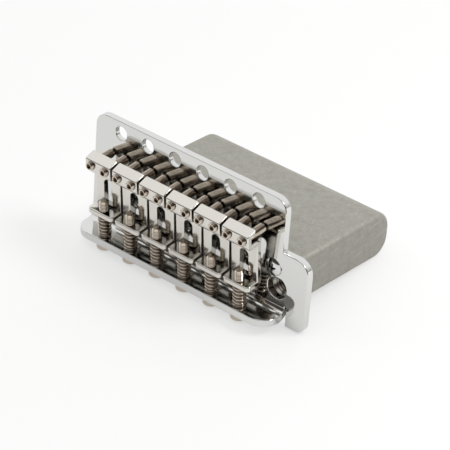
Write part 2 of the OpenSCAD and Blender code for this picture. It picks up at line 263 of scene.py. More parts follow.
def smooth(mesh, crease=CREASE):
    """The mesh shaded smooth, but sharp at edges that turn by more than the crease angle."""
    mesh.shade_smooth()
    mesh.set_sharp_from_angle(angle=crease)
    return mesh


def evaluated(obj, name):
    """The plain mesh that an object's modifiers make; the object itself is removed."""
    graph = bpy.context.evaluated_depsgraph_get()
    mesh = bpy.data.meshes.new_from_object(obj.evaluated_get(graph), depsgraph=graph)
    mesh.name = name
    bpy.data.objects.remove(obj)
    return mesh


def welded(node):
    """A CAD node's triangles, welded into clean faces."""
    bm = bmesh.new()
    for v in NODES[node].data.vertices:
        bm.verts.new(v.co)
    bm.verts.ensure_lookup_table()
    for polygon in NODES[node].data.polygons:
        bm.faces.new([bm.verts[k] for k in polygon.vertices])
    bmesh.ops.remove_doubles(bm, verts=bm.verts, dist=WELD)
    bmesh.ops.dissolve_limit(bm, angle_limit=FLAT, verts=bm.verts, edges=bm.edges)
    return bm


def rounded_copy(node, name, edge, radius_at=None):
    """A CAD node's shape with its sharp edges rounded.

    radius_at gives an edge's own radius from its middle point, where that is less than edge.
    """
    bm = welded(node)
    weight = bm.edges.layers.float.new("bevel_weight_edge")
    for e in bm.edges:
        if len(e.link_faces) == 2 and e.calc_face_angle() > CREASE:
            middle = (e.verts[0].co + e.verts[1].co) / 2
            e[weight] = min(1.0, radius_at(middle) / edge) if radius_at else 1.0
    obj = link_object(bpy.data.objects.new(name, mesh_from(bm, name)))
    bevel = obj.modifiers.new("Rounded edges", "BEVEL")
    bevel.width = edge
    bevel.segments = ROUNDING_STEPS
    bevel.limit_method = "WEIGHT"
    bevel.use_clamp_overlap = False
    bevel.harden_normals = True
    return evaluated(obj, name)


def ring(bm, radius, z):
    """A ring of points; radius is a number or a function of the angle."""
    points = []
    for k in range(AROUND):
        angle = 2 * math.pi * k / AROUND
        r = radius(angle) if callable(radius) else radius
        points.append(bm.verts.new((r * math.cos(angle), r * math.sin(angle), z)))
    return points


def turned(bm, profile, closed_ends=True):
    """A shape turned about Z from (radius, z) pairs; its ends are closed by flat faces."""
    rings = [ring(bm, radius, z) for radius, z in profile]
    for a, b in zip(rings, rings[1:]):
        for k in range(AROUND):
            n = (k + 1) % AROUND
            bm.faces.new((a[k], a[n], b[n], b[k]))
    if closed_ends:
        bm.faces.new(rings[0])
        bm.faces.new(rings[-1])


def hexagon(width):
    """Radius of a hexagon of that width across its flats, as a function of the angle."""
    sixth = math.pi / 3

    def radius(angle):
        return width / 2 / math.cos(angle % sixth - sixth / 2)

    return radius


def dome(rim_r, rise, steps):
    """(radius, drop) pairs from a dome's rim nearly to its top, from which the drop counts."""
    ball_r = (rim_r**2 + rise**2) / (2 * rise)
    radii = [rim_r * (1 - k / steps) for k in range(steps)]
    return [(r, ball_r - math.sqrt(ball_r**2 - r**2)) for r in radii]


# Geometry Nodes


def new_tree(name, floats):
    """An empty tree with a geometry, named lengths and a material as its inputs."""
    tree = bpy.data.node_groups.new(name, "GeometryNodeTree")
    face = tree.interface
    face.new_socket("Geometry", in_out="INPUT", socket_type="NodeSocketGeometry")
    for socket in floats:
        face.new_socket(socket, in_out="INPUT", socket_type="NodeSocketFloat")
    face.new_socket("Material", in_out="INPUT", socket_type="NodeSocketMaterial")
    face.new_socket("Geometry", in_out="OUTPUT", socket_type="NodeSocketGeometry")
    return tree, add(tree, "NodeGroupInput"), add(tree, "NodeGroupOutput")


def end_tree(tree, start, end, geometry):
    """Closes a tree with Realize Instances and Set Material."""
    real = add(tree, "GeometryNodeRealizeInstances", {"Geometry": geometry})
    painted = add(
        tree, "GeometryNodeSetMaterial",
        {"Geometry": real, "Material": start.outputs["Material"]},
    )
    tree.links.new(painted.outputs["Geometry"], end.inputs["Geometry"])


THREAD_SIZES = (
    "Turns", "Start", "End", "Pitch", "Crest radius", "Root radius", "Start tip", "End tip",
)
FLANK_ROWS = 7
# Where a thread's flank starts and ends, in pitches from the middle of its crest
FLANK_TOP = 0.06
FLANK_FOOT = 0.45


def thread_tree():
    """A screw thread: a ribbon one pitch wide that winds from Start to End, ridged along it.

    Two cones that come to a point at Start tip and End tip cut its ends.
    """
    tree, start, end = new_tree("Screw thread", THREAD_SIZES)
    size = start.outputs
    steps = add(tree, "ShaderNodeMath", {0: size["Turns"], 1: AROUND}, operation="MULTIPLY")
    columns = add(tree, "ShaderNodeMath", {0: steps, 1: 1.0}, operation="ADD")
    grid = add(
        tree, "GeometryNodeMeshGrid",
        {"Size X": 1.0, "Size Y": 1.0, "Vertices X": columns, "Vertices Y": FLANK_ROWS},
    )
    place = add(tree, "ShaderNodeSeparateXYZ", {0: add(tree, "GeometryNodeInputPosition")}).outputs
    last = add(tree, "ShaderNodeMath", {0: size["Turns"], 1: -0.5}, operation="ADD")
    wound = add(
        tree, "ShaderNodeMapRange",
        {"Value": place["X"], "From Min": -0.5, "From Max": 0.5, "To Min": -0.5, "To Max": last},
    )
    angle = add(tree, "ShaderNodeMath", {0: wound, 1: 2 * math.pi}, operation="MULTIPLY")
    middle = add(
        tree, "ShaderNodeMath", {0: wound, 1: size["Pitch"], 2: size["Start"]},
        operation="MULTIPLY_ADD",
    )
    rise = add(
        tree, "ShaderNodeMath", {0: place["Y"], 1: size["Pitch"], 2: middle},
        operation="MULTIPLY_ADD",
    )
    z = add(tree, "ShaderNodeClamp", {"Value": rise, "Min": size["Start"], "Max": size["End"]})
    from_crest = add(tree, "ShaderNodeMath", {0: place["Y"]}, operation="ABSOLUTE")
    wall = add(
        tree, "ShaderNodeMapRange",
        {"Value": from_crest, "From Min": FLANK_TOP, "From Max": FLANK_FOOT,
         "To Min": size["Crest radius"], "To Max": size["Root radius"]},
    )
    start_cone = add(tree, "ShaderNodeMath", {0: z, 1: size["Start tip"]}, operation="SUBTRACT")
    end_cone = add(tree, "ShaderNodeMath", {0: size["End tip"], 1: z}, operation="SUBTRACT")
    cones = add(tree, "ShaderNodeMath", {0: start_cone, 1: end_cone}, operation="MINIMUM")
    radius = add(tree, "ShaderNodeMath", {0: wall, 1: cones}, operation="MINIMUM")
    spot = add(tree, "ShaderNodeCombineXYZ", {"X": radius, "Z": z})
    turned_spot = add(
        tree, "ShaderNodeVectorRotate", {"Vector": spot, "Angle": angle}, rotation_type="Z_AXIS"
    )
    ribbon = add(
        tree, "GeometryNodeSetPosition",
        {"Geometry": grid.outputs["Mesh"], "Position": turned_spot},
    )
    both = add(tree, "GeometryNodeJoinGeometry", {"Geometry": ribbon})
    tree.links.new(size["Geometry"], both.inputs["Geometry"])
    joined = add(tree, "GeometryNodeMergeByDistance", {"Geometry": both, "Distance": WELD})
    end_tree(tree, start, end, joined)
    return tree


def thread_values(low, high, pitch, crest, root, low_r, high_r):
    """Inputs of the thread's tree for a thread from low to high, with its end radii."""
    return {
        "Turns": float(math.ceil((high - low) / pitch) + 1), "Start": low, "End": high,
        "Pitch": pitch, "Crest radius": crest, "Root radius": root,
        "Start tip": low - low_r, "End tip": high + high_r,
    }


SPRING_SIZES = ("Low", "High", "Coil radius", "Wire radius", "Curls", "Flat share")
# Points along one curl of the spring and round its wire, and how much of a curl lies flat
CURL_STEPS = 28
WIRE_AROUND = 12
FLAT_CURL = 0.4


def spring_tree():
    """A wire spring about Z whose first and last stretch lie flat."""
    tree, start, end = new_tree("Wire spring", SPRING_SIZES)
    size = start.outputs
    coil = add(
        tree, "GeometryNodeCurveSpiral",
        {"Resolution": CURL_STEPS, "Rotations": size["Curls"], "Start Radius": size["Coil radius"],
         "End Radius": size["Coil radius"], "Height": 1.0},
    )
    place = add(tree, "ShaderNodeSeparateXYZ", {0: add(tree, "GeometryNodeInputPosition")}).outputs
    far = add(tree, "ShaderNodeMath", {0: 1.0, 1: size["Flat share"]}, operation="SUBTRACT")
    z = add(
        tree, "ShaderNodeMapRange",
        {"Value": place["Z"], "From Min": size["Flat share"], "From Max": far,
         "To Min": size["Low"], "To Max": size["High"]},
    )
    spot = add(tree, "ShaderNodeCombineXYZ", {"X": place["X"], "Y": place["Y"], "Z": z})
    middle = add(tree, "GeometryNodeSetPosition", {"Geometry": coil, "Position": spot})
    section = add(
        tree, "GeometryNodeCurvePrimitiveCircle",
        {"Resolution": WIRE_AROUND, "Radius": size["Wire radius"]},
    )
    wire = add(
        tree, "GeometryNodeCurveToMesh",
        {"Curve": middle, "Profile Curve": section, "Fill Caps": True},
    )
    end_tree(tree, start, end, wire)
    return tree


def grown(base, tree, values, material, name):
    """The plain mesh of a base mesh with a tree run on it."""
    obj = link_object(bpy.data.objects.new(name, base))
    modifier = obj.modifiers.new(tree.name, "NODES")
    modifier.node_group = tree
    for item in tree.interface.items_tree:
        if item.in_out == "INPUT" and item.name in values:
            modifier[item.identifier] = values[item.name]
        elif item.in_out == "INPUT" and item.name == "Material":
            modifier[item.identifier] = material
    return evaluated(obj, name)


def finished_piece(mesh, name, material, body, node):
    """Puts a mesh in the scene as a piece that stands for a CAD node.

    With no material it keeps its mesh's own, and with no body it is still to be blended.
    """
    if material:
        mesh.materials.clear()
        mesh.materials.append(material)
    piece = link_object(bpy.data.objects.new(name, mesh))
    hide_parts(node)
    if body:
        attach(piece, body)
    return piece


# Materials

# Rays that look for walls near a point, where painted shade goes
CORNER_RAYS = 6


def grains_of(size_mm):
    """The scale of a noise pattern whose grains are that many millimetres wide."""
    return 1 / (size_mm * MM)


def new_material(name, colour_value, metallic, roughness):
    """A material with typical values, and the parts of its tree that its pattern varies."""
    material = bpy.data.materials.new(name)
    material.use_nodes = True
    tree = material.node_tree
    shader = tree.nodes["Principled BSDF"]
    shader.inputs["Base Color"].default_value = rgba(colour_value)
    shader.inputs["Metallic"].default_value = metallic
    shader.inputs["Roughness"].default_value = roughness
    where = add(tree, "ShaderNodeTexCoord").outputs["Object"]
    return material, tree, shader, where


def chrome_plated_steel(colours):
    """Chrome on polished steel: a cold mirror that is never quite flat.

    It gives the eye crisp reflections, bent a little by the polishing wheel's slow waves, with
    faint smears, a few hairlines and painted shade that darkens its corners and gaps.
    """
    material, tree, shader, where = new_material("chrome_plated_steel", colours.chrome, 1.0, 0.08)
    # Painted shade: where walls are near, the base colour darkens towards the shade colour
    corner = add(tree, "ShaderNodeAmbientOcclusion", {"Distance": 2.5 * MM}, samples=CORNER_RAYS)
    out_of_shade = add(
        tree, "ShaderNodeMapRange",
        {"Value": corner.outputs["AO"], "From Min": 0.05, "From Max": 0.6},
    )
    tint = add(
        tree, "ShaderNodeMix",
        {"Factor": out_of_shade, "A": rgba(colours.film), "B": rgba(colours.chrome)}, data_type="RGBA",
    )
    put(tree, tint, shader.inputs["Base Color"])
    # The cloth's smears are as wide as a fingertip
    smear = add(
        tree, "ShaderNodeTexNoise",
        {"Vector": where, "Scale": grains_of(16.7), "Detail": 4, "Roughness": 0.6},
    )
    dull = add(
        tree, "ShaderNodeMapRange",
        {"Value": smear, "From Min": 0.35, "From Max": 0.7, "To Min": 0.05, "To Max": 0.12},
    )
    # Real hairlines are some hundredths of a millimetre wide, and these are coarser to show
    drawn = add(
        tree, "ShaderNodeMapping",
        {"Vector": where, "Rotation": (0.4, 0.2, 0.7), "Scale": (1, 0.02, 1)},
    )
    streaks = add(
        tree, "ShaderNodeTexNoise", {"Vector": drawn, "Scale": grains_of(0.25), "Detail": 2}
    )
    hairlines = add(
        tree, "ShaderNodeMapRange", {"Value": streaks, "From Min": 0.66, "From Max": 0.72}
    )
    rough = add(
        tree, "ShaderNodeMath", {0: hairlines, 1: 0.1, 2: dull}, operation="MULTIPLY_ADD"
    )
    put(tree, rough, shader.inputs["Roughness"])
    # The polishing wheel leaves a wave about every 14 mm
    waves = add(
        tree, "ShaderNodeTexNoise", {"Vector": where, "Scale": grains_of(14.3), "Detail": 1}
    )
    wavy = add(
        tree, "ShaderNodeBump", {"Height": waves, "Strength": 0.25, "Distance": 0.05 * MM}
    )
    scored = add(
        tree, "ShaderNodeBump",
        {"Height": hairlines, "Strength": 0.15, "Distance": 0.01 * MM, "Normal": wavy},
    )
    put(tree, scored, shader.inputs["Normal"])
    return material


def chrome_tumbled_sheet(colours):
    """Chrome on bent sheet that was only tumbled.

    It gives the eye a soft, warm shine, a little satin, with cloudy patches and a fine grain,
    and painted shade that darkens its inside corners.
    """
    material, tree, shader, where = new_material("chrome_tumbled_sheet", colours.saddle, 1.0, 0.14)
    # Painted shade: where walls are near, the base colour darkens towards the shade colour
    corner = add(tree, "ShaderNodeAmbientOcclusion", {"Distance": 4 * MM}, samples=CORNER_RAYS)
    out_of_shade = add(
        tree, "ShaderNodeMapRange",
        {"Value": corner.outputs["AO"], "From Min": 0.1, "From Max": 0.75},
    )
    tint = add(
        tree, "ShaderNodeMix",
        {"Factor": out_of_shade, "A": rgba(colours.film), "B": rgba(colours.saddle)}, data_type="RGBA",
    )
    put(tree, tint, shader.inputs["Base Color"])
    # A cloudy patch is nearly as wide as a saddle
    smear = add(
        tree, "ShaderNodeTexNoise",
        {"Vector": where, "Scale": grains_of(8), "Detail": 3, "Roughness": 0.6},
    )
    rough = add(
        tree, "ShaderNodeMapRange",
        {"Value": smear, "From Min": 0.3, "From Max": 0.7, "To Min": 0.09, "To Max": 0.18},
    )
    put(tree, rough, shader.inputs["Roughness"])
    # Bent sheet waves about once in a saddle's width
    waves = add(
        tree, "ShaderNodeTexNoise", {"Vector": where, "Scale": grains_of(9.1), "Detail": 1}
    )
    wavy = add(tree, "ShaderNodeBump", {"Height": waves, "Strength": 0.2, "Distance": 0.04 * MM})
    # The dents of the tumbling stones are a tenth as wide, and these are coarser to show
    grain = add(
        tree, "ShaderNodeTexNoise", {"Vector": where, "Scale": grains_of(0.5), "Detail": 2}
    )
    grained = add(
        tree, "ShaderNodeBump",
        {"Height": grain, "Strength": 0.08, "Distance": 0.01 * MM, "Normal": wavy},
    )
    put(tree, grained, shader.inputs["Normal"])
    return material


def nickel_plated_steel(colours):
    """Nickel on small steel parts, warm and a little tarnished.

    It gives the eye tan highlights on crests and wire, painted shade in every hollow and darker patches of
    tarnish.
    """
    material, tree, shader, where = new_material("nickel_plated_steel", colours.nickel, 1.0, 0.2)
    # Painted shade: hollows that walls close in darken towards the shade colour, and so do patches of tarnish
    hollow = add(tree, "ShaderNodeAmbientOcclusion", {"Distance": 1 * MM}, samples=CORNER_RAYS)
    # A patch of tarnish covers about three turns of the thread
    patches = add(
        tree, "ShaderNodeTexNoise",
        {"Vector": where, "Scale": grains_of(1.54), "Detail": 3, "Roughness": 0.6},
    )
    lit_and_untarnished = add(
        tree, "ShaderNodeMath", {0: patches, 1: 0.3, 2: hollow.outputs["AO"]},
        operation="MULTIPLY_ADD",
    )
    clean_and_lit = add(
        tree, "ShaderNodeMapRange", {"Value": lit_and_untarnished, "From Min": 0.45, "From Max": 0.95}
    )
    tint = add(
        tree, "ShaderNodeMix",
        {"Factor": clean_and_lit, "A": rgba(colours.grime), "B": rgba(colours.nickel)}, data_type="RGBA",
    )
    put(tree, tint, shader.inputs["Base Color"])
    rough = add(
        tree, "ShaderNodeMapRange", {"Value": clean_and_lit, "To Min": 0.3, "To Max": 0.1}
    )
    put(tree, rough, shader.inputs["Roughness"])
    return material


def die_cast_metal(colours):
    """Bare pressure-cast metal.

    It gives the eye a matt grey skin with fine mottling and grain and a few bright scuffs.
    """
    material, tree, shader, where = new_material("die_cast_metal", colours.cast, 0.35, 0.55)
    # Metal that freezes as it flows leaves mottles about two millimetres wide
    flow = add(
        tree, "ShaderNodeTexNoise",
        {"Vector": where, "Scale": grains_of(2.22), "Detail": 6, "Roughness": 0.75},
    )
    marks = add(
        tree, "ShaderNodeMapRange",
        {"Value": flow, "From Min": 0.38, "From Max": 0.7, "To Max": 0.7},
    )
    skin = add(
        tree, "ShaderNodeMix",
        {"Factor": marks, "A": rgba(colours.cast), "B": rgba(colours.cast_dark)},
        data_type="RGBA",
    )
    # Real scuffs are a tenth of a millimetre wide, and these are coarser to show
    drawn = add(
        tree, "ShaderNodeMapping",
        {"Vector": where, "Rotation": (0.9, 0.3, 1.9), "Scale": (1, 0.03, 1)},
    )
    streaks = add(
        tree, "ShaderNodeTexNoise", {"Vector": drawn, "Scale": grains_of(1 / 3), "Detail": 2}
    )
    scuffs = add(
        tree, "ShaderNodeMapRange",
        {"Value": streaks, "From Min": 0.64, "From Max": 0.72, "To Max": 0.4},
    )
    worn = add(
        tree, "ShaderNodeMix",
        {"Factor": scuffs, "A": skin, "B": rgba(colours.cast_worn)},
        data_type="RGBA",
    )
    put(tree, worn, shader.inputs["Base Color"])
    # The skin's own grain is a quarter of this, and is drawn coarser to show
    grain = add(
        tree, "ShaderNodeTexNoise", {"Vector": where, "Scale": grains_of(2 / 3), "Detail": 3}
    )
    rough = add(
        tree, "ShaderNodeMapRange",
        {"Value": grain, "From Min": 0.3, "From Max": 0.7, "To Min": 0.45, "To Max": 0.62},
    )
    put(tree, rough, shader.inputs["Roughness"])
    uneven = add(tree, "ShaderNodeBump", {"Height": flow, "Strength": 0.25, "Distance": 0.1 * MM})
    grained = add(
        tree, "ShaderNodeBump",
        {"Height": grain, "Strength": 0.35, "Distance": 0.04 * MM, "Normal": uneven},
    )
    put(tree, grained, shader.inputs["Normal"])
    return material


def tapped_metal(colours):
    """The same metal freshly cut, in the arm's threaded hole.

    It gives the eye a bright rim and glints on the thread, with painted shade deeper down.
    """
    material, tree, shader, where = new_material("tapped_metal", colours.cast_worn, 1.0, 0.25)
    # Painted shade: deeper in the hole the base colour darkens towards the shade colour
    depth = add(tree, "ShaderNodeAmbientOcclusion", {"Distance": 4 * MM}, samples=CORNER_RAYS)
    out_of_shade = add(
        tree, "ShaderNodeMapRange",
        {"Value": depth.outputs["AO"], "From Min": 0.6, "From Max": 0.9},
    )
    tint = add(
        tree, "ShaderNodeMix",
        {"Factor": out_of_shade, "A": rgba(colours.grime), "B": rgba(colours.cast_worn)},
        data_type="RGBA",
    )
    put(tree, tint, shader.inputs["Base Color"])
    # The tap chatters about once in each turn of its thread
    chatter = add(
        tree, "ShaderNodeTexNoise", {"Vector": where, "Scale": grains_of(1.11), "Detail": 2}
    )
    ridged = add(
        tree, "ShaderNodeBump", {"Height": chatter, "Strength": 0.1, "Distance": 0.02 * MM}
    )
    put(tree, ridged, shader.inputs["Normal"])
    return material


# How much of the paper's white is its own where the camera and where a mirror sees it
SEEN_SHARE = 0.6
MIRRORED_SHARE = 0.25


def white_paper(colours):
    """Matt white background paper, on which the eye only sees soft shadows.

    It has some white of its own where it is seen, in the picture or in metal, which softens its
    shadows and adds no light to the object.
    """
    material, tree, shader, where = new_material("white_paper", colours.floor, 0.0, 0.9)
    shader.inputs["Specular IOR Level"].default_value = 0.1
    # The pulp of rolled paper clouds over about a hand's width
    pulp = add(
        tree, "ShaderNodeTexNoise", {"Vector": where, "Scale": grains_of(125), "Detail": 2}
    )
    tint = add(
        tree, "ShaderNodeMix",
        {"Factor": pulp, "A": rgba(colours.floor), "B": rgba("#ffffff")}, data_type="RGBA",
    )
    put(tree, tint, shader.inputs["Base Color"])
    ray = add(tree, "ShaderNodeLightPath").outputs
    mirrored = add(
        tree, "ShaderNodeMath",
        {0: ray["Is Glossy Ray"], 1: ray["Is Transmission Ray"]}, operation="MAXIMUM",
    )
    straight = add(
        tree, "ShaderNodeMath", {0: ray["Is Camera Ray"], 1: SEEN_SHARE}, operation="MULTIPLY"
    )
    share = add(
        tree, "ShaderNodeMath", {0: mirrored, 1: MIRRORED_SHARE, 2: straight},
        operation="MULTIPLY_ADD",
    )
    glow = add(tree, "ShaderNodeEmission", {"Color": rgba("#ffffff"), "Strength": 1.0})
    paper = add(tree, "ShaderNodeMixShader", {0: share})
    tree.links.new(shader.outputs["BSDF"], paper.inputs[1])
    tree.links.new(glow.outputs["Emission"], paper.inputs[2])
    put(tree, paper, tree.nodes["Material Output"].inputs["Surface"])
    return material


def finish_of(make):
    """The material that a function makes, made once under the function's own name."""
    made = bpy.data.materials.get(make.__name__)
    return made or make(bpy.context.scene.bridge_colours)


# Pieces


def rounded_piece(node, body, edge, make, radius_at=None):
    """A CAD node's shape with rounded edges, as a piece that stands for it."""
    name = f"{node}_dressed"
    mesh = rounded_copy(node, name, edge, radius_at)
    return finished_piece(mesh, name, finish_of(make), body, node)


def saddle_radius(i, sizes):
    """A function that gives the radius of a saddle's edge near a point.

    The sheared outline is well rounded, the string slot's rim is fine, and the rims of the holes
    that screws fill stay sharp.
    """
    place = string_frame(i)
    back = place.inverted()
    low, high = span(f"grub_screw_{i}_left", place)
    grub = (low + high) / 2
    grub_r = (high.x - low.x) / 2 + 0.1 * MM
    shaft_end = span(f"intonation_screw_{i}", place)[1].y
    screw_r = 1.6 * MM
    slot_half = 1.75 * MM

    def radius_at(point):
        spot = back @ point
        across = abs(spot.x)
        in_grub_hole = math.hypot(across - abs(grub.x), spot.y - grub.y) < grub_r
        in_screw_hole = math.hypot(across, spot.z) < screw_r and spot.y < shaft_end
        if in_grub_hole or in_screw_hole:
            return 0.0
        return sizes.fine_edge if across < slot_half and spot.z < 0 else sizes.saddle_edge

    return radius_at


def cross_cutter(sizes, z_open, depth_sign):
    """A tapered cross that a driver fits, as an object to cut with.

    It opens at z_open, above which it stands out, and runs the way that depth_sign says.
    """
    bm = bmesh.new()
    arm, half_slot, depth = sizes.cross_w / 2, sizes.cross_slot / 2, sizes.cross_depth
    top, tip = (arm, half_slot), (arm * 0.45, half_slot * 0.8)
    for long_x in (True, False):
        corners = []
        for (a, b), z in ((top, -0.6 * depth), (tip, depth)):
            x, y = (a, b) if long_x else (b, a)
            level = z_open + depth_sign * z
            corners.append([bm.verts.new((sx * x, sy * y, level))
                            for sx, sy in ((1, 1), (-1, 1), (-1, -1), (1, -1))])
        low, high = corners
        bm.faces.new(low)
        bm.faces.new(high)
        for k in range(4):
            n = (k + 1) % 4
            bm.faces.new((low[k], low[n], high[n], high[k]))
    return link_object(bpy.data.objects.new("cross_cutter", mesh_from(bm, "cross_cutter")))


def cut(mesh, cutter, name, crossing=False):
    """A mesh with a cutter's shape taken away, where the cut faces get the cutter's material.

    crossing says that the cutter's own parts run through each other.
    """
    obj = link_object(bpy.data.objects.new(name, mesh))
    modifier = obj.modifiers.new("Cut", "BOOLEAN")
    modifier.operation = "DIFFERENCE"
    modifier.solver = "EXACT"
    modifier.use_self = crossing
    modifier.material_mode = "TRANSFER"
    modifier.object = cutter
    weld = obj.modifiers.new("Weld", "WELD")
    weld.merge_threshold = WELD / 10
    result = evaluated(obj, name)
    bpy.data.objects.remove(cutter)
    return result


def arm_hole():
    """Where the arm's hole lies in the block, half its length and its core radius."""
    place, arm = plate_frame(), MOUNTS["arm_thread"]
    centre = place.inverted() @ Vector(arm["pos_m"])
    half, core = arm["dims"]["length_mm"] / 2 * MM, arm["dims"]["r_mm"] * MM
    return place @ Matrix.Translation(centre), half, core


def hole_cutter(mesh, place, name):
    """An object to cut the arm's hole with, which leaves fresh metal."""
    mesh = cleaned(mesh, place, name)
    mesh.materials.clear()
    mesh.materials.append(finish_of(tapped_metal))
    return link_object(bpy.data.objects.new(name, mesh))


def arm_sink(sizes):
    """The cone at which the arm's thread begins, to cut the block with."""
    place, half, core = arm_hole()
    wide, tip = sizes.arm_sink_d / 2, core * 0.9
    bm = bmesh.new()
    turned(bm, [(tip, half - wide + tip), (wide + MM, half + MM)])
    return hole_cutter(mesh_from(bm, "arm_sink"), place, "arm_sink")


def arm_tap(sizes):
    """The shape of the arm's thread, to cut the block with.

    Its root stays a little inside the bore, so that no two faces lie on each other.
    """
    place, half, core = arm_hole()
    root = core - 0.03 * MM
    bm = bmesh.new()
    low, high = 0.5 * MM - half, half + 0.5 * MM
    values = thread_values(low, high, sizes.arm_pitch, sizes.arm_thread_d / 2, root, root, root)
    for z in (low, high):
        bm.faces.new(ring(bm, root, z))
    base = plain_mesh(bm, "arm_tap")
    mesh = grown(base, thread_tree(), values, finish_of(tapped_metal), "arm_tap")
    return hole_cutter(mesh, place, "arm_tap")


def cleaned(mesh, place, name):
    """A mesh moved to its place, without its slivers, with outward faces and creases."""
    bm = bmesh.new()
    bm.from_mesh(mesh)
    bmesh.ops.dissolve_degenerate(bm, edges=bm.edges, dist=WELD)
    bmesh.ops.transform(bm, matrix=place, verts=bm.verts)
    return mesh_from(bm, name)


def intonation_screw(i, sizes, tree):
    """A cross-headed screw whose head bears on the lip and whose thread carries the saddle."""
    node = f"intonation_screw_{i}"
    name = f"{node}_threaded"
    place = string_frame(i) @ Matrix.Rotation(-math.pi / 2, 4, "X")
    low, high = span(node, place)
    head_r = high.x
    back = place.inverted()
    points = [back @ v.co for v in NODES[node].data.vertices]
    near_rim = head_r * 0.98
    rim_levels = [p.z for p in points if math.hypot(*p.xy) > near_rim]
    rim, rise = max(rim_levels), min(rim_levels) - low.z
    shaft_r = max(math.hypot(*p.xy) for p in points if p.z > rim + MM)
    steps = 8
    fillet = 0.18 * MM
    bm = bmesh.new()
    profile = [(shaft_r * 0.8, rim + 0.02 * MM), (head_r - fillet, rim), (head_r, rim - fillet)]
    profile += [(r, low.z + drop) for r, drop in dome(head_r, rise, steps)]
    profile.append((head_r / steps / 4, low.z))
    turned(bm, profile)
    cutter = cross_cutter(sizes, low.z + 0.35 * rise, 1)
    head = cut(mesh_from(bm, name), cutter, name, crossing=True)
    # The solid's shaft lies between the thread's crest and its root; the thread starts in the
    # head and tapers at its end
    crest = shaft_r + sizes.thread_depth * 0.4
    root = crest - sizes.thread_depth
    start, end_r = rim - 0.1 * MM, crest - sizes.thread_depth * 1.6
    values = thread_values(start, high.z, sizes.pitch, crest, root, root, end_r)
    bm = bmesh.new()
    bm.from_mesh(head)
    for z, r in ((start, root), (high.z, end_r)):
        bm.faces.new(ring(bm, r, z))
    base = plain_mesh(bm, name)
    mesh = grown(base, tree, values, finish_of(nickel_plated_steel), name)
    mesh = cleaned(mesh, place, name)
    return finished_piece(mesh, name, finish_of(nickel_plated_steel), node, node)


def block_radius(sizes):
    """A function that gives the radius of the block's edge near a point.

    The rims of the holes at its far end run over a curved side, and stay as they were cast.
    """
    place = plate_frame()
    back = place.inverted()
    curved_side = 2 * MM
    far_end = span("tremolo_block", place)[0].z + curved_side

    def radius_at(point):
        return 0.0 if (back @ point).z < far_end else sizes.block_edge

    return radius_at


def block_screws(sizes):
    """The three screws of the block, with raised countersunk heads and cross recesses."""
    node, name = "block_screws", "block_screws_raised"
    place = plate_frame()
    low, high = span(node, place)
    head_r = (high.y - low.y) / 2
    row = (low.y + high.y) / 2
    back = place.inverted()
    spots = [back @ v.co for v in NODES[node].data.vertices]
    shaft_r = max(abs(p.y - row) for p in spots if p.z < (low.z + high.z) / 2)
    rise, steps = 0.55 * MM, 6
    profile = [(shaft_r * 0.9, low.z), (shaft_r, low.z + 0.3 * MM)]
    profile += [(shaft_r, high.z - head_r + shaft_r), (head_r, high.z)]
    profile += [(r, high.z + rise - drop) for r, drop in dome(head_r, rise, steps)[1:]]
    whole = bmesh.new()
    for x in (low.x + head_r, 0.0, high.x - head_r):
        bm = bmesh.new()
        turned(bm, profile)
        cutter = cross_cutter(sizes, high.z + rise * 0.5, -1)
        head = cut(mesh_from(bm, name), cutter, name, crossing=True)
        part = bmesh.new()
        part.from_mesh(head)
        bmesh.ops.transform(
            part, matrix=place @ Matrix.Translation((x, row, 0)), verts=part.verts
        )
        part.to_mesh(head)
        part.free()
        whole.from_mesh(head)
    mesh = mesh_from(whole, name)
    return finished_piece(
        mesh, name, finish_of(chrome_plated_steel), "bridge", node
    )


def grub_screw(i, side, sizes, tree):
    """A headless screw with a cup point at the plate and a hexagon socket at the other end."""
    node = f"grub_screw_{i}_{side}"
    name = f"{node}_threaded"
    place = string_frame(i)
    low, high = span(node, place)
    centre = (low + high) / 2
    radius = (high.x - low.x) / 2
    depth = sizes.thread_depth
    end_r = radius - max(sizes.grub_chamfer, depth)
    tip_r = radius * 0.6
    cup = (tip_r * 0.1, low.z + 0.25 * MM)
    socket = hexagon(sizes.socket_w)
    socket_floor = high.z - sizes.socket_depth
    drill_tip = (sizes.socket_w * 0.1, socket_floor - 0.3 * MM)
    bm = bmesh.new()
    turned(bm, [(tip_r, low.z), (tip_r * 0.7, low.z), cup], False)
    turned(
        bm,
        [(end_r, high.z), (sizes.socket_w * 0.62, high.z), (socket, high.z - 0.12 * MM),
         (socket, socket_floor), drill_tip],
        False,
    )
    for r, z in (cup, drill_tip):
        bm.faces.new(ring(bm, r, z))
    base = plain_mesh(bm, name)
    values = thread_values(low.z, high.z, sizes.pitch, radius, radius - depth, tip_r, end_r)
    mesh = grown(base, tree, values, finish_of(nickel_plated_steel), name)
    mesh = cleaned(mesh, place @ Matrix.Translation((centre.x, centre.y, 0)), name)
    return finished_piece(mesh, name, finish_of(nickel_plated_steel), node, node)


def spring(i, sizes, tree):
    """A wire spring that reaches from the lip to the saddle's tab."""
    node = f"spring_{i}"
    name = f"{node}_wire"
    place = string_frame(i) @ Matrix.Rotation(-math.pi / 2, 4, "X")
    low, high = span(node, place)
    wire_r = sizes.wire_d / 2
    values = {
        "Low": low.z + wire_r, "High": high.z - wire_r, "Coil radius": high.x - wire_r,
        "Wire radius": wire_r, "Curls": float(sizes.curls), "Flat share": FLAT_CURL / sizes.curls,
    }
    mesh = grown(bpy.data.meshes.new(name), tree, values, finish_of(nickel_plated_steel), name)
    mesh = cleaned(mesh, place, name)
    piece = finished_piece(mesh, name, finish_of(nickel_plated_steel), None, node)
    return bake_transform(piece)


# Operators


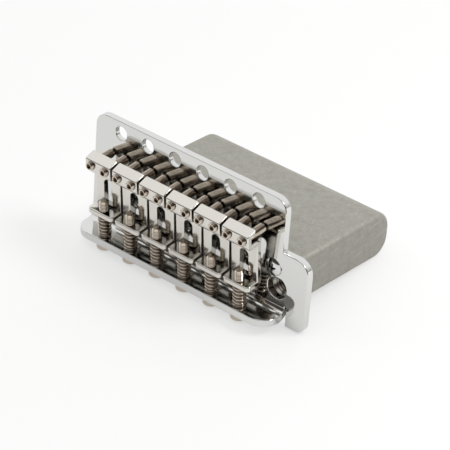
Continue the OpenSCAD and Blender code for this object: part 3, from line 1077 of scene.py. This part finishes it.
class BRIDGE_OT_plate(bpy.types.Operator):
    """Rounds the plate's edges and plates it with chrome"""

    bl_idname = "bridge.plate"
    bl_label = "Base plate"

    def execute(self, context):
        sizes = context.scene.bridge_sizes
        back = plate_frame().inverted()
        low, high = span("block_screws", plate_frame())
        head_r = (high.y - low.y) / 2
        screw = Vector((high.x - head_r, (low.y + high.y) / 2))

        def radius_at(point):
            """Fine where the arm's hole and the screw beside it almost meet."""
            spot = (back @ point).xy
            close = (spot - screw).length < head_r + MM
            return sizes.fine_edge if close else sizes.plate_edge

        rounded_piece(
            "base_plate", "bridge", sizes.plate_edge, chrome_plated_steel,
            radius_at,
        )
        return {"FINISHED"}


class BRIDGE_OT_block(bpy.types.Operator):
    """Gives the cast block its skin and the arm's thread, and plates its three screws"""

    bl_idname = "bridge.block"
    bl_label = "Tremolo block"

    def execute(self, context):
        sizes = context.scene.bridge_sizes
        name = "tremolo_block_tapped"
        mesh = rounded_copy("tremolo_block", name, sizes.block_edge, block_radius(sizes))
        mesh.materials.append(finish_of(die_cast_metal))
        for cutter in (arm_tap(sizes), arm_sink(sizes)):
            mesh = cut(mesh, cutter, name)
        smooth(mesh, CAST_CREASE)
        finished_piece(mesh, name, None, "bridge", "tremolo_block")
        block_screws(sizes)
        return {"FINISHED"}


class BRIDGE_OT_saddles(bpy.types.Operator):
    """Rounds the sheared edges of the six bent saddles"""

    bl_idname = "bridge.saddles"
    bl_label = "Saddles"

    def execute(self, context):
        sizes = context.scene.bridge_sizes
        for i in STRINGS:
            node = f"saddle_{i}"
            rounded_piece(
                node, node, sizes.saddle_edge, chrome_tumbled_sheet,
                saddle_radius(i, sizes),
            )
        return {"FINISHED"}


class BRIDGE_OT_intonation_screws(bpy.types.Operator):
    """Makes the six intonation screws with their threads and cross recesses"""

    bl_idname = "bridge.intonation_screws"
    bl_label = "Intonation screws"

    def execute(self, context):
        tree = thread_tree()
        for i in STRINGS:
            intonation_screw(i, context.scene.bridge_sizes, tree)
        return {"FINISHED"}


class BRIDGE_OT_grub_screws(bpy.types.Operator):
    """Makes the twelve grub screws with their threads and hexagon sockets"""

    bl_idname = "bridge.grub_screws"
    bl_label = "Grub screws"

    def execute(self, context):
        tree = thread_tree()
        for i in STRINGS:
            for side in SIDES:
                grub_screw(i, side, context.scene.bridge_sizes, tree)
        return {"FINISHED"}


class BRIDGE_OT_springs(bpy.types.Operator):
    """Winds the six springs between the lip and the saddles"""

    bl_idname = "bridge.springs"
    bl_label = "Springs"

    def execute(self, context):
        tree = spring_tree()
        for i in STRINGS:
            spring(i, context.scene.bridge_sizes, tree)
        return {"FINISHED"}


# The camera that took the photograph, found from the pivot holes and the saddles' edges
EYE_MM = (379.8, -393.9, 397.9)
AIM_MM = (14.46, -1.28, -14.05)
ROLL = math.radians(-3.02)

# Sizes of the paper and the lamp, and the lamp's place from the bridge's middle, in metres
FLOOR_SIZE = 6.0
KEY_SIZE = 0.25
KEY_PLACE = Vector((0.42, 0.24, 0.5))

# The side opening's soft edges: cosines from the camera's side, and the heights of its top
SIDE_EDGE = {"From Min": -0.25, "From Max": 0.15}
TOP_EDGE = {"From Min": 0.6, "From Max": 0.78, "To Min": 1.0, "To Max": 0.0}
# The direction of the gap in the roof, and the cosines from it at the gap's soft edge
GAP = Vector((0.36, 0.15, 0.92))
GAP_EDGE = {"From Min": 0.95, "From Max": 0.985}


def white_tent(studio, room):
    """The world: a white tent over the table, open low down on the camera's side and overhead.

    The openings give the metal its dark reflections. The camera itself sees white everywhere.
    """
    world = bpy.data.worlds.new("white_tent")
    bpy.context.scene.world = world
    world.use_nodes = True
    tree = world.node_tree
    where = add(tree, "ShaderNodeTexCoord").outputs["Generated"]
    opening = (Vector(EYE_MM) - Vector(AIM_MM)) * Vector((1, 1, 0))
    facing = add(
        tree, "ShaderNodeVectorMath", {0: where, 1: opening.normalized()}, operation="DOT_PRODUCT"
    ).outputs["Value"]
    height = add(tree, "ShaderNodeSeparateXYZ", {0: where}).outputs["Z"]
    front = add(
        tree, "ShaderNodeMapRange", {"Value": facing, **SIDE_EDGE},
        interpolation_type="SMOOTHSTEP",
    )
    below = add(
        tree, "ShaderNodeMapRange", {"Value": height, **TOP_EDGE},
        interpolation_type="SMOOTHSTEP",
    )
    towards_gap = add(
        tree, "ShaderNodeVectorMath", {0: where, 1: GAP.normalized()}, operation="DOT_PRODUCT"
    ).outputs["Value"]
    gap = add(
        tree, "ShaderNodeMapRange", {"Value": towards_gap, **GAP_EDGE},
        interpolation_type="SMOOTHSTEP",
    )
    opened = add(tree, "ShaderNodeMath", {0: front, 1: below}, operation="MULTIPLY")
    gaps = add(tree, "ShaderNodeMath", {0: opened, 1: gap}, operation="MAXIMUM")
    camera_ray = add(tree, "ShaderNodeLightPath").outputs["Is Camera Ray"]
    dark = add(
        tree, "ShaderNodeMath", {0: gaps, 1: camera_ray}, operation="SUBTRACT", use_clamp=True
    )
    tent = add(
        tree, "ShaderNodeMix",
        {"Factor": dark, "A": rgba("#ffffff"), "B": rgba(room)}, data_type="RGBA",
    )
    back = tree.nodes["Background"]
    put(tree, tent, back.inputs["Color"])
    back.inputs["Strength"].default_value = studio.world


def lamp(name, power, size, place, aim):
    """A square soft lamp that points at aim."""
    data = bpy.data.lights.new(name, "AREA")
    data.energy = power
    data.size = size
    obj = link_object(bpy.data.objects.new(name, data))
    obj.location = place
    obj.rotation_euler = (Vector(aim) - Vector(place)).to_track_quat("-Z", "Y").to_euler()
    return obj


def photo_camera(studio):
    """The camera at the photograph's place, with its small roll."""
    data = bpy.data.cameras.new("camera")
    data.lens = studio.lens
    data.sensor_width = 36.0
    data.clip_start, data.clip_end = 0.01, 20.0
    obj = link_object(bpy.data.objects.new("camera", data))
    eye, aim = Vector(EYE_MM) * MM, Vector(AIM_MM) * MM
    look = (aim - eye).to_track_quat("-Z", "Y").to_matrix().to_4x4()
    obj.matrix_world = Matrix.Translation(eye) @ look @ Matrix.Rotation(ROLL, 4, "Z")
    bpy.context.scene.camera = obj


class BRIDGE_OT_stage(bpy.types.Operator):
    """Lays the white paper, hangs the lamp and sets the camera"""

    bl_idname = "bridge.stage"
    bl_label = "Stage"

    def execute(self, context):
        studio = context.scene.bridge_studio
        low = CAD_BOX[0]
        bm = bmesh.new()
        half = FLOOR_SIZE / 2
        corners = [(-half, -half), (half, -half), (half, half), (-half, half)]
        bm.faces.new([bm.verts.new((x, y, low.z)) for x, y in corners])
        floor = link_object(bpy.data.objects.new("floor", mesh_from(bm, "floor")))
        floor.data.materials.append(finish_of(white_paper))
        white_tent(studio, context.scene.bridge_colours.room)
        centre = (CAD_BOX[0] + CAD_BOX[1]) / 2
        lamp("key", studio.key, KEY_SIZE, centre + KEY_PLACE, centre)
        photo_camera(studio)
        context.scene.view_settings.view_transform = "Standard"
        return {"FINISHED"}


class BRIDGE_PT_panel(bpy.types.Panel):
    """Lists the steps that dress the bridge"""

    bl_idname = "BRIDGE_PT_panel"
    bl_label = "Tremolo bridge"
    bl_space_type = "VIEW_3D"
    bl_region_type = "UI"
    bl_category = "Bridge"

    def draw(self, context):
        for step in STEPS:
            self.layout.operator(step.bl_idname)
        for group in (
            context.scene.bridge_sizes, context.scene.bridge_colours, context.scene.bridge_studio
        ):
            for name in group.__annotations__:
                self.layout.prop(group, name)


STEPS = (
    BRIDGE_OT_plate, BRIDGE_OT_block, BRIDGE_OT_saddles, BRIDGE_OT_intonation_screws,
    BRIDGE_OT_grub_screws, BRIDGE_OT_springs, BRIDGE_OT_stage,
)
CLASSES = (BridgeSizes, BridgeColours, BridgeStudio, *STEPS, BRIDGE_PT_panel)


def register():
    for cls in CLASSES:
        bpy.utils.register_class(cls)
    bpy.types.Scene.bridge_sizes = bpy.props.PointerProperty(type=BridgeSizes)
    bpy.types.Scene.bridge_colours = bpy.props.PointerProperty(type=BridgeColours)
    bpy.types.Scene.bridge_studio = bpy.props.PointerProperty(type=BridgeStudio)


def unregister():
    del bpy.types.Scene.bridge_studio
    del bpy.types.Scene.bridge_colours
    del bpy.types.Scene.bridge_sizes
    for cls in reversed(CLASSES):
        bpy.utils.unregister_class(cls)


def main():
    register()
    bpy.ops.bridge.plate()
    bpy.ops.bridge.block()
    bpy.ops.bridge.saddles()
    bpy.ops.bridge.intonation_screws()
    bpy.ops.bridge.grub_screws()
    bpy.ops.bridge.springs()
    bpy.ops.bridge.stage()


if __name__ == "__main__":
    main()
